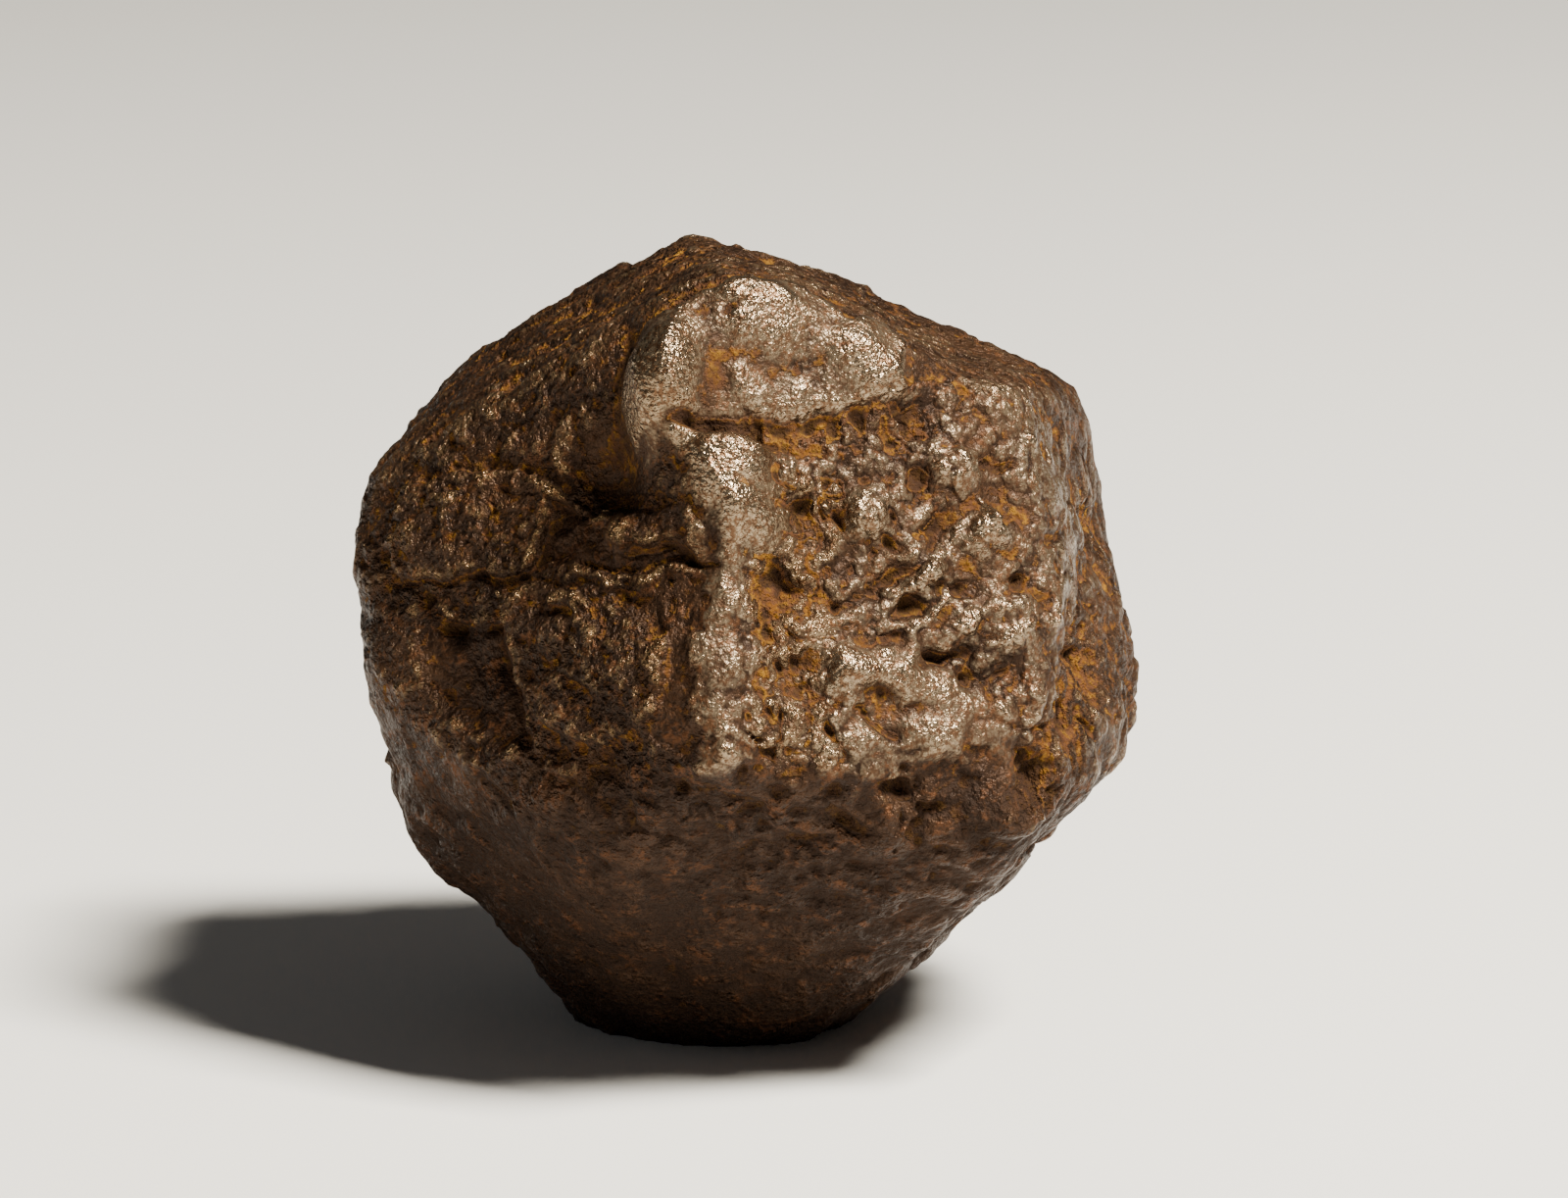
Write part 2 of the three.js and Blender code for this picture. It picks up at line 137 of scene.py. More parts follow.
# Furrows, cracks and crests along a line: points across and up, half width, rise, ochre, shine
LINES = (
    ("furrow under the cap", ((-2.6, 8.1), (-0.9, 7.9), (0.9, 7.4)), 0.28, -0.36, 0.2, -0.4),
    ("ragged ledge under the cap", ((1.8, 7.4), (3.1, 7.9), (4.5, 8.3), (5.7, 8.9)), 0.3, -0.1, 0.2, -0.3),
    ("crest of the block", ((-2.3, 7.3), (-1.2, 7.2), (0.2, 6.8)), 0.35, 0.22, -0.3, 0.6),
    ("crack across the left face", ((-13.5, 2.2), (-12.2, 2.5), (-10.8, 2.4), (-8.2, 2.9), (-6.0, 3.0),
                                    (-4.2, 2.8), (-2.4, 3.2), (-1.2, 3.2)), 0.12, -0.22, 0.2, -0.3),
    # Dark step: a real step, with lowered shine and ochre as a painted shadow of the golden crust's edge
    # along it
    ("dark step", ((-9.7, 0.7), (-9.3, -0.8), (-8.9, -2.2), (-8.6, -3.7)), 0.3, -0.4, -0.4, -0.8),
    ("side crack", ((-3.0, 2.9), (-2.9, 1.9), (-2.8, 1.2)), 0.1, -0.14, 0.3, 0.0),
    ("step right of the cap", ((5.0, 9.6), (5.8, 8.6), (6.4, 7.9)), 0.22, -0.32, 0.5, -0.3),
    ("diagonal furrow", ((3.1, 1.5), (4.6, 2.2), (6.0, 3.2), (7.1, 4.0)), 0.26, -0.35, 0.0, -0.4),
    ("furrow inside the rim", ((9.5, 2.0), (10.4, 2.5), (11.0, 1.9)), 0.2, -0.32, 0.4, -0.3),
    ("hooked crack", ((4.1, -2.3), (4.6, -2.9), (5.4, -3.5)), 0.16, -0.3, 0.3, -0.3),
    ("rim of the front right face", ((10.5, 7.6), (11.4, 6.1), (11.8, 4.3), (11.9, 2.1), (11.7, 1.0)),
     0.55, 0.28, -0.2, 0.5),
    ("thin crest", ((5.1, -0.3), (6.5, 1.2), (7.3, 1.8)), 0.2, 0.22, -0.2, 0.5),
    ("upright crest", ((8.6, 5.4), (8.9, 4.5)), 0.18, 0.22, -0.2, 0.5),
    ("worn front edge", ((-0.7, 4.2), (-1.1, 2.4), (-1.2, -0.5), (-0.9, -4.2)), 0.8, 0.25, -0.6, 0.4),
    # Worn lower edge: a rounded edge, with lowered shine as painted shade along the bottom of the front
    ("worn lower edge", ((-5.0, -5.6), (-1.5, -5.8), (3.0, -6.6), (7.5, -6.5), (10.5, -5.4)),
     2.2, -0.85, 0.0, -0.5),
    ("left upper ridge", ((-13.2, 6.2), (-9.7, 9.1), (-7.3, 10.5), (-4.2, 12.6), (-1.0, 14.2)),
     0.6, 0.05, -0.1, 0.35),
    ("right upper ridge", ((1.2, 13.9), (4.8, 12.3), (7.3, 11.1), (10.3, 9.2), (11.7, 7.4)),
     0.6, 0.05, -0.1, 0.4),
)

# Pits of the front: across, up, half sizes, turn, depth
PITS = (
    ((5.8, 1.3), (0.55, 0.48), 0, 0.8), ((5.3, 0.1), (0.36, 0.34), 0, 0.45),
    ((7.4, -0.5), (0.62, 0.28), -10, 0.6), ((8.1, -0.4), (0.32, 0.26), 0, 0.4),
    ((5.2, 3.8), (0.36, 0.26), 0, 0.4), ((5.2, 5.0), (0.28, 0.22), 0, 0.3),
    ((6.3, 6.3), (0.42, 0.36), 0, 0.35), ((8.9, 6.9), (0.42, 0.26), 20, 0.4),
    ((9.6, 6.8), (0.36, 0.22), 0, 0.4), ((10.1, 2.5), (0.42, 0.22), -35, 0.4),
    ((6.9, 2.2), (0.3, 0.26), 0, 0.35), ((7.9, 2.0), (0.42, 0.26), 10, 0.35),
    ((11.3, 4.2), (0.28, 0.22), -40, 0.3), ((-0.7, 12.0), (0.24, 0.22), 0, 0.3),
    ((3.5, 10.8), (0.2, 0.18), 0, 0.2), ((7.2, 4.6), (0.6, 0.35), 30, 0.4),
    ((6.3, 8.9), (0.4, 0.6), -30, 0.45), ((2.2, 4.6), (0.5, 0.8), 10, 0.3),
    ((3.0, 2.9), (0.5, 0.4), 20, 0.3), ((5.8, -5.7), (0.8, 0.36), -20, 0.7),
    ((3.1, -5.7), (0.46, 0.3), 0, 0.4), ((4.2, -7.2), (0.9, 0.4), -15, 0.4),
    ((-0.2, -6.2), (0.9, 0.4), -20, 0.4), ((7.2, -6.6), (0.6, 0.32), -10, 0.4),
    ((11.7, -3.0), (0.36, 0.26), 0, 0.35), ((12.4, -0.3), (0.4, 0.3), 0, 0.3),
    ((11.5, -5.2), (0.3, 0.4), 0, 0.3), ((-11.6, 0.7), (0.5, 0.36), -20, 0.45),
    ((-12.0, 1.5), (0.3, 0.3), 0, 0.3), ((-6.9, 1.2), (0.3, 0.2), 0, 0.25),
)

# Outlines and pits are pushed about by noise: wave and push
RAGGED = ((1.5, 0.28), (0.6, 0.16))
STEP_HALF_WIDTH = 0.14

# Relief found all over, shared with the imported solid: wave and height, then plates and pocks
SWELL = ((6.5, 0.3), (2.7, 0.16))
TERRACE_SIZE, TERRACE_STEP, TERRACE_EDGE = 4.6, 0.24, 0.5
POCK_SPACING, POCK_RADIUS, POCK_DEPTH, POCK_SHARE = 2.6, 0.75, 0.5, 0.5
LESS_ON_THE_FRONT = 0.45

# Where a change starts and where it is complete: towards the viewer for the front, below the middle
# for the lower faces and the dim part, where shade is painted, and the upward part of a direction for the
# upper faces
FRONT_BEGINS = (0.5, 4.5)
LOWER_FACES_BEGIN = (5.0, 9.5)
DIM_BEGINS = (3.6, 6.8)
UPPER_SHARPNESS_BEGINS = (-0.7, 0.1)

# Fine relief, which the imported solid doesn't have. Each row ends with its share on the knobby,
# the left, the upper and the lower faces.
# Channels: wave, seed, width, depth, more in the rough strip, the patches' wave and seed, their edge
CHANNELS = (
    (1.7, 90, 0.26, 0.24, 0.0, (2.2, 89), (-0.3, 0.4), (0.9, 0.35, 0.2, 0.35)),
    (0.9, 93, 0.4, 0.12, 0.14, (1.7, 88), (-0.4, 0.3), (1.0, 0.6, 0.5, 0.5)),
)
# Small pits: spacing, seed, how many, radius, how much it varies, depth
SMALL_PITS = (
    (1.5, 70, 0.5, 0.22, 0.5, 0.55, (1.0, 0.5, 0.4, 0.5)),
    (0.8, 80, 0.4, 0.17, 0.0, 0.28, (0.9, 0.9, 0.8, 0.8)),
)
# Flakes: size, seed, push by broad and by fine noise, width of the step, height, less on plates
FLAKES = (
    (1.9, 95, 0.3, 0.12, 0.2, 0.16, False, (0.0, 1.0, 0.0, 0.3)),
    (0.75, 96, 0.12, 0.08, 0.12, 0.08, True, (0.0, 1.0, 0.5, 0.0)),
)
# Streaks: face, the face whose edge they follow, faces that have half as much, seed, how golden
STREAKS = (
    ("top left", "front left", ("top back", "left shoulder"), 110, 0.5),
    ("top right", "front right", ("top back",), 112, 0.22),
)

# The relief is compared with a near and a wide mean of itself: rounds of smoothing, height that counts as 1
NEAR_ROUNDS, NEAR_HEIGHT = 12, 0.06
WIDE_ROUNDS, WIDE_HEIGHT = 90, 0.2

# Soft lights: name, bearing and tilt in degrees, distance and size in metres, colour
LIGHTS = (
    ("key_light", 57, 56, 0.45, 0.12, (1.0, 0.94, 0.82)),
    ("fill_light", -70, 25, 0.6, 0.5, (0.92, 0.96, 1.0)),
)
SURROUNDINGS_COLOUR = (1.0, 0.97, 0.93, 1)
SENSOR_MILLIMETRES = 36.0


def facing(bearing, tilt):
    """Unit vector: bearing 0 looks at the viewer and grows to the right, tilt is above the horizon."""
    b, t = np.radians([bearing, tilt])
    return np.array([np.sin(b) * np.cos(t), -np.cos(b) * np.cos(t), np.sin(t)])


RIGHT = np.array([1.0, 0.0, 0.0])
TOWARD = facing(0, VIEW_TILT)
UP = np.cross(TOWARD, RIGHT)
# Axes of the fine relief, turned so that its grain doesn't line up with the faces
TURNED = np.array(Matrix.Rotation(0.7, 3, Vector((1, 2, 3))))


def smooth(low, high, x):
    """0 below low, 1 above high, and the cubic 3t^2 - 2t^3 in between."""
    t = np.clip((x - low) / (high - low), 0, 1)
    return t * t * (3 - 2 * t)


def scatter(cell, seed):
    """Repeatable number from 0 to 1 for each lattice corner: the fraction of a large sine."""
    s = np.sin(cell @ np.array([127.1, 311.7, 74.7]) + seed * 53.3) * 43758.5453
    return s - np.floor(s)


def waves(points, wave, seed):
    """Value noise from -1 to 1: corner numbers blended with the quintic 6t^5 - 15t^4 + 10t^3."""
    q = points / wave
    cell = np.floor(q)
    part = q - cell
    part = part ** 3 * (part * (part * 6 - 15) + 10)
    total = np.zeros(len(points))
    for corner in np.ndindex(2, 2, 2):
        step = np.array(corner)
        weight = np.prod(np.where(step, part, 1 - part), axis=1)
        total += weight * scatter(cell + step, seed)
    return 2 * total - 1


def nearest_seed(points, size, seed):
    """Nearest scattered seed: distance to it, how much farther the next one is, and its number."""
    q = points / size
    cell = np.floor(q)
    near = np.full(len(points), np.inf)
    following = np.full(len(points), np.inf)
    mark = np.zeros(len(points))
    for step in np.ndindex(3, 3, 3):
        c = cell + np.array(step) - 1
        place = c + np.stack([scatter(c, seed + k) for k in (1, 2, 3)], axis=1)
        gap = np.linalg.norm(q - place, axis=1)
        closer = gap < near
        following = np.where(closer, near, np.minimum(following, gap))
        mark = np.where(closer, scatter(c, seed + 4), mark)
        near = np.where(closer, gap, near)
    return near * size, (following - near) * size, mark


def line_distance(s, t, points):
    """Distance from each place to a line of straight stretches."""
    ends = np.array(points, float)
    best = np.full(len(s), np.inf)
    for a, b in zip(ends[:-1], ends[1:]):
        run = b - a
        k = np.clip(((s - a[0]) * run[0] + (t - a[1]) * run[1]) / (run @ run), 0, 1)
        best = np.minimum(best, np.hypot(s - a[0] - k * run[0], t - a[1] - k * run[1]))
    return best


def inside_distance(s, t, outline):
    """Distance to a closed outline, positive inside: a ray from there crosses it an odd number of times."""
    within = np.zeros(len(s), bool)
    for (ax, ay), (bx, by) in zip(np.roll(outline, 1, axis=0), outline):
        if ay != by:
            within ^= ((by > t) != (ay > t)) & (s < (ax - bx) * (t - by) / (ay - by) + bx)
    distance = line_distance(s, t, [*outline, outline[0]])
    return np.where(within, distance, -distance)


def lump(s, t, at, half, turn):
    """Blunt hill of height 1: exp of minus the cubed distance in half sizes, after a turn."""
    a = np.radians(turn)
    x = ((s - at[0]) * np.cos(a) + (t - at[1]) * np.sin(a)) / half[0]
    y = ((t - at[1]) * np.cos(a) - (s - at[0]) * np.sin(a)) / half[1]
    return np.exp(-(x * x + y * y) ** 1.5)


def directions_all_round(divisions, crowding):
    """Unit directions and quads: a cube's tangent-spaced grids swelled to a sphere, corners shared.

    Each direction is then pushed towards the viewer by the crowding and made a unit again.
    """
    k = np.arange(divisions + 1)
    i, j = np.meshgrid(k, k, indexing="ij")
    places = []
    quads = []
    for axis in range(3):
        for side in (0, divisions):
            place = np.zeros((divisions + 1, divisions + 1, 3), int)
            place[..., axis] = side
            place[..., (axis + 1) % 3] = i
            place[..., (axis + 2) % 3] = j
            number = np.arange(i.size).reshape(i.shape) + len(places) * i.size
            ring = [number[:-1, :-1], number[1:, :-1], number[1:, 1:], number[:-1, 1:]]
            ring = ring if side else ring[::-1]
            quads.append(np.stack(ring, axis=-1).reshape(-1, 4))
            places.append(place.reshape(-1, 3))
    places, shared = np.unique(np.concatenate(places), axis=0, return_inverse=True)
    even = np.tan(np.radians(45) * (2 * places / divisions - 1))
    even /= np.linalg.norm(even, axis=1, keepdims=True)
    pushed = even + crowding * TOWARD
    return pushed / np.linalg.norm(pushed, axis=1, keepdims=True), shared.reshape(-1)[np.concatenate(quads)]


def face_radius(directions, upper, lower):
    """Radius to the rounded flat faces, (sum of (cos / reach)^p)^(-1/p), and each face's share."""
    normals = np.array([facing(bearing, tilt) for _, bearing, tilt, _ in FACES])
    reaches = np.array([reach for *_, reach in FACES])
    power = lower + (upper - lower) * smooth(*UPPER_SHARPNESS_BEGINS, directions[:, 2])
    parts = (np.maximum(directions @ normals.T, 0) / reaches) ** power[:, None]
    total = parts.sum(axis=1)
    return total ** (-1 / power), parts / total[:, None]


def added_up(forms):
    """Height, ochre and shine of many forms: each form's share of a point times its three amounts."""
    return sum(np.outer(amounts, share) for share, amounts in forms)


def lobe_relief(places):
    """The bulges and hollows: height, ochre and shine, each a Gaussian hill in three directions."""
    return added_up((np.exp(-(((places - at) / half) ** 2).sum(axis=1)), amounts)
                    for _, at, half, *amounts in LOBES)


def coarse_relief(points, front):
    """Waves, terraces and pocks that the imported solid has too, as height above the faces."""
    coarse = np.zeros(len(points))
    for seed, (wave, height) in enumerate(SWELL):
        coarse += height * waves(points, wave, seed)
    _, lead, mark = nearest_seed(points, TERRACE_SIZE, 20)
    coarse += TERRACE_STEP * (2 * mark - 1) * smooth(0, TERRACE_EDGE, lead)
    near, _, mark = nearest_seed(points, POCK_SPACING, 40)
    coarse -= np.where(mark < POCK_SHARE, POCK_DEPTH * np.exp(-(near / POCK_RADIUS) ** 2), 0)
    return (1 - LESS_ON_THE_FRONT * front) * coarse


def front_relief(s, t, ragged_s, ragged_t):
    """The named forms of the front: height, ochre and shine, summed over the tables."""
    forms = [(lump(s, t, at, half, turn), amounts) for _, at, half, turn, *amounts in SWELLINGS]
    forms += [(lump(ragged_s, ragged_t, at, half, turn), (-depth, 0, -1)) for at, half, turn, depth in PITS]
    for _, outline, *amounts in PLATES:
        inside = inside_distance(ragged_s, ragged_t, outline)
        forms.append((smooth(-STEP_HALF_WIDTH, STEP_HALF_WIDTH, inside), amounts))
    for _, points, half, *amounts in LINES:
        forms.append((np.exp(-(line_distance(ragged_s, ragged_t, points) / half) ** 2), amounts))
    return added_up(forms)


def face_kinds(face, lower):
    """Shares of four kinds of face: knobby, left, upper and lower, from each crystal face's share.

    The faces under the front and the right stay knobby until the lower part begins.
    """
    knobby = (face["front right"] + 0.6 * face["right corner"]
              + 0.8 * (face["right"] + face["back right"] + face["back left"])
              + (1 - lower) * (face["under front"] + face["under right"]))
    left = face["front left"] + 0.3 * face["left"] + 0.3 * (1 - lower) * face["under left"]
    upper = face["top right"] + face["top left"] + face["top back"] + face["left shoulder"]
    under = sum(face[name] for name in face if name.startswith("under"))
    return np.stack([knobby, left, upper, lower * under + 0.6 * face["left"]], axis=1)


def channel_relief(points, warped, kinds, strip):
    """Worm-like channels in patches, along the zero line of warped noise, with smooth lumps between."""
    relief = np.zeros(len(points))
    for wave, seed, width, depth, more, patches, begins, shares in CHANNELS:
        channel = 1 - smooth(0.0, width, np.abs(waves(warped, wave, seed)))
        patch = smooth(*begins, waves(points, *patches))
        relief -= (depth + more * strip) * channel * patch * (kinds @ shares)
    return relief


def pit_relief(warped, kinds):
    """Small pits: Gaussian hollows at scattered seeds."""
    relief = np.zeros(len(warped))
    for spacing, seed, chance, radius, varies, depth, shares in SMALL_PITS:
        near, _, mark = nearest_seed(warped, spacing, seed)
        pit = np.where(mark < chance, np.exp(-(near / (radius + varies * mark)) ** 2), 0)
        relief -= depth * pit * (kinds @ shares)
    return relief


def flake_relief(points, shift, finer, kinds, even):
    """Flakes at different heights, with a step where one cell meets the next."""
    relief = np.zeros(len(points))
    for size, seed, push, finer_push, step, height, less, shares in FLAKES:
        _, lead, mark = nearest_seed(points + push * shift + finer_push * finer, size, seed)
        flake = height * (2 * mark - 1) * smooth(0, step, lead) * (kinds @ shares)
        relief += flake * even if less else flake
    return relief


def streak_relief(points, shift, face):
    """Streaks of the upper faces: noise drawn out along an edge of the front, as height and as ochre."""
    normals = {name: facing(bearing, tilt) for name, bearing, tilt, _ in FACES}
    relief, earthy = np.zeros((2, len(points)))
    for name, beside, others, seed, gold in STREAKS:
        along = np.cross(normals[beside], normals[name]) @ TURNED
        along /= np.linalg.norm(along)
        drawn = points - 0.8 * (points @ along)[:, None] * along
        streak = waves(drawn + 0.15 * shift, 0.55, seed) + 0.6 * waves(drawn, 0.3, seed + 1)
        where = face[name] + 0.5 * sum(face[other] for other in others)
        relief += 0.15 * streak * where
        earthy += (gold + 0.5 * streak) * where
    return relief, earthy


def fine_relief(points, front, share, earth, gloss):
    """Channels, pits, flakes, grain and streaks, weighted by the kind of face they are on.

    All of it is worked out on turned axes, so no grain lines up with the faces. Returns the height,
    and how earthy, worn, pebbly, crusty and dim each point is as a whole; worn is cut in the dim part
    and earthy on the lower faces, both as painted shade. The polished places
    are calmer than the rest, and the flat plates more even.
    """
    height = points @ UP
    lower = smooth(*LOWER_FACES_BEGIN, -height)
    dim = smooth(*DIM_BEGINS, -height)
    face = {name: share[:, k] for k, (name, *_) in enumerate(FACES)}
    kinds = face_kinds(face, lower)
    knobby, left, upper, below = kinds.T
    edge = smooth(0.12, 0.5, 1 - share.max(axis=1))
    calm = 1 - 0.85 * smooth(0.3, 0.9, gloss) * front
    even = 1 - 0.8 * smooth(0.1, 0.28, -earth) * front
    strip = smooth(0.3, 0.5, earth) * front
    earthen = smooth(0.2, 0.8, earth)

    points = points @ TURNED
    shift = np.stack([waves(points, 1.2, seed) for seed in (61, 62, 63)], axis=1)
    finer = np.stack([waves(points, 0.5, seed) for seed in (64, 65, 66)], axis=1)
    warped = points + 0.45 * shift + 0.12 * finer
    rise = calm * channel_relief(points, warped, kinds, strip)
    rise += calm * even * pit_relief(warped, kinds)
    rise += flake_relief(points, shift, finer, kinds, even)

    rise += 0.26 * waves(warped, 1.9, 91) * calm * (knobby + 0.2 * left + 0.6 * below)
    ripple = 0.1 * waves(points, 1.0, 92) + 0.07 * waves(points, 0.65, 94)
    rise += ripple * calm * (knobby + 0.3 * left + 0.8 * below)
    grain = 0.035 * (waves(points, 0.5, 97) + 0.7 * waves(points, 0.33, 98))
    rise += grain * ((0.5 + 1.6 * left * even + 0.8 * upper + 0.3 * below) * calm + 4.5 * earthen)
    rise += 0.15 * waves(warped, 0.75, 99) * earthen
    ripple = 0.22 * waves(warped, 1.1, 100) + 0.12 * waves(points, 0.6, 101)
    rise += ripple * dim * (1 - lower) * front

    streaks, earthy = streak_relief(points, shift, face)
    # Painted shade: less ochre on the lower faces, which makes them darker
    earthy += 0.2 * waves(points, 3.2, 121) + 0.05 * (upper + left + knobby) - 0.45 * below
    # Painted shade: shine is cut in the dim lower part, so that part stays dark brown
    worn = (0.25 * edge * (1 - below) + (0.12 + 0.23 * front) * knobby + 0.15 * left
            - 0.7 * dim + 0.12 * waves(points, 4.0, 120))
    pebbly = calm * even * np.clip(knobby + 0.3 * left + 0.4 * upper + 0.2 * below, 0, 1)
    crusty = even * np.clip(left + 0.6 * upper + 0.8 * dim, 0, 1) + 0.8 * earthen
    return rise + streaks, earthy, worn, pebbly, crusty, dim


def neighbour_mean(values, quads, rounds):
    """Values smoothed over the mesh: each round takes half a point and half the mean of its neighbours."""
    corners, following = quads.ravel(), np.roll(quads, -1, axis=1).ravel()
    ends = np.concatenate([corners, following])
    others = np.concatenate([following, corners])
    count = np.bincount(ends, minlength=len(values))
    for _ in range(rounds):
        values = (values + np.bincount(ends, values[others], len(values)) / count) / 2
    return values


def crystal_surface(settings):
    """Points in metres, quads and the finish of each point: faces + relief, cut flat to rest.

    Ochre gathers where the relief is lower than its own smoothed copies, shine where it is higher,
    and painted shade (depth) in the hollows and towards the bottom.
    """
    directions, quads = directions_all_round(settings.divisions, settings.crowding)
    radius, share = face_radius(directions, settings.upper_sharpness, settings.lower_sharpness)
    points = directions * radius[:, None]
    s, t, w = points @ RIGHT, points @ UP, points @ TOWARD
    front = smooth(*FRONT_BEGINS, w)
    ragged = np.stack([sum(push * waves(points, wave, seed + k) for k, (wave, push) in enumerate(RAGGED))
                       for seed in (50, 52, 54)], axis=1)
    named, earth, gloss = front_relief(s, t, s + ragged[:, 0], t + ragged[:, 1])
    lobes, lobe_earth, lobe_gloss = lobe_relief(np.stack([s, t, w], axis=1) + ragged)
    earth = front * earth + lobe_earth
    gloss = front * gloss + lobe_gloss
    fine, earthy, worn, pebbly, crusty, dim = fine_relief(points, front, share, earth, gloss)
    relief = front * named + lobes + coarse_relief(points, front) + settings.fine_relief * fine
    small = (relief - neighbour_mean(relief, quads, NEAR_ROUNDS)) / NEAR_HEIGHT
    large = (relief - neighbour_mean(relief, quads, WIDE_ROUNDS)) / WIDE_HEIGHT
    ochre = 0.8 * earth + earthy - 0.55 * small - 0.4 * large
    shine = gloss + worn + 0.3 * small + 0.35 * large
    # Painted shade: depth is high towards the bottom (dim) and where the relief lies below its smoothed
    # copies, and darkens the colour there
    depth = 1.6 * dim - (0.5 + 0.4 * dim) * small - 0.5 * large
    points = directions * (radius + relief)[:, None]
    floor = -settings.centre_height / MILLIMETRE
    cut = points[:, 2] < floor
    points[cut] *= (floor / points[cut, 2])[:, None]
    points[:, 2] -= floor
    points[cut, 2] = 0
    finish = {"ochre": ochre, "shine": shine, "depth": depth, "pebbly": pebbly, "crusty": crusty}
    return points * MILLIMETRE, quads, finish


def add_surface(name, points, quads, attributes):
    """Puts whole arrays into a new smooth mesh object at the origin."""
    mesh = bpy.data.meshes.new(name)
    mesh.vertices.add(len(points))
    mesh.vertices.foreach_set("co", points.astype(np.float32).ravel())
    mesh.loops.add(quads.size)
    mesh.loops.foreach_set("vertex_index", quads.astype(np.int32).ravel())
    mesh.polygons.add(len(quads))
    mesh.polygons.foreach_set("loop_start", np.arange(0, quads.size, 4, dtype=np.int32))
    mesh.update(calc_edges=True)
    mesh.validate()
    mesh.shade_smooth()
    for label, values in attributes.items():
        mesh.attributes.new(label, "FLOAT", "POINT").data.foreach_set("value", values.astype(np.float32))
    made = bpy.data.objects.new(name, mesh)
    bpy.context.scene.collection.objects.link(made)
    return made


class Signal:
    """A shader socket that can be used in arithmetic: each operator adds its Math node."""

    def __init__(self, shader, socket):
        self.shader = shader
        self.socket = socket

    def _math(self, operation, first, second):
        return self.shader.node("ShaderNodeMath", {"operation": operation}, {0: first, 1: second})

    def __add__(self, other):
        return self._math("ADD", self, other)

    __radd__ = __add__

    def __sub__(self, other):
        return self._math("SUBTRACT", self, other)

    def __rsub__(self, other):
        return self._math("SUBTRACT", other, self)

    def __mul__(self, other):
        return self._math("MULTIPLY", self, other)

    __rmul__ = __mul__

    def between(self, low, high):
        """0 below low, 1 above high, smooth in between."""
        inputs = {"Value": self, "From Min": low, "From Max": high}
        return self.shader.node("ShaderNodeMapRange", {"interpolation_type": "SMOOTHSTEP"}, inputs)


class Shader:
    """A new node material with one Principled BSDF."""

    def __init__(self, name):
        self.material = bpy.data.materials.new(name)
        self.material.use_nodes = True
        self.tree = self.material.node_tree
        self.surface = self.tree.nodes["Principled BSDF"]

    def node(self, kind, settings, inputs, output=0):
        """Adds a node: its settings first, then a value or a link for each named or numbered socket."""
        made = self.tree.nodes.new(kind)
        for name, value in settings.items():
            setattr(made, name, value)
        self.fill(made, inputs)
        return Signal(self, made.outputs[output])

    def fill(self, made, inputs):
        """Links a signal to its socket, or sets a plain value there."""
        for name, value in inputs.items():
            if isinstance(value, Signal):
                self.tree.links.new(value.socket, made.inputs[name])
            else:
                made.inputs[name].default_value = value

    def blend(self, share, first, second):
        """Colour between two colours."""
        return self.node("ShaderNodeMix", {"data_type": "RGBA"}, {0: share, 6: first, 7: second}, 2)

    def attribute(self, name):
        """Number kept at the points of the mesh."""
        return self.node("ShaderNodeAttribute", {"attribute_name": name}, {}, "Fac")

    def millimetres(self):
        """Object coordinates in millimetres."""
        place = self.node("ShaderNodeTexCoord", {}, {}, "Object")
        return self.node("ShaderNodeVectorMath", {"operation": "SCALE"}, {0: place, "Scale": 1 / MILLIMETRE})

    def noise(self, place, wave, detail=2.0, roughness=0.5):
        """Noise around 0.5 with that wavelength in millimetres."""
        inputs = {"Vector": place, "Scale": 1 / wave, "Detail": detail, "Roughness": roughness}
        return self.node("ShaderNodeTexNoise", {}, inputs, "Fac")

    def warped(self, place, wave, amount):
        """Place pushed along each axis by coloured noise of that wavelength, by 0 to the amount."""
        inputs = {"Vector": place, "Scale": 1 / wave, "Detail": 1.0}
        push = self.node("ShaderNodeTexNoise", {}, inputs, "Color")
        inputs = {0: push, 1: (amount, amount, amount), 2: place}
        return self.node("ShaderNodeVectorMath", {"operation": "MULTIPLY_ADD"}, inputs)

    def cells(self, place, size):
        """Distance to the nearest cell middle, 0 to about 1."""
        return self.node("ShaderNodeTexVoronoi", {}, {"Vector": place, "Scale": 1 / size}, "Distance")


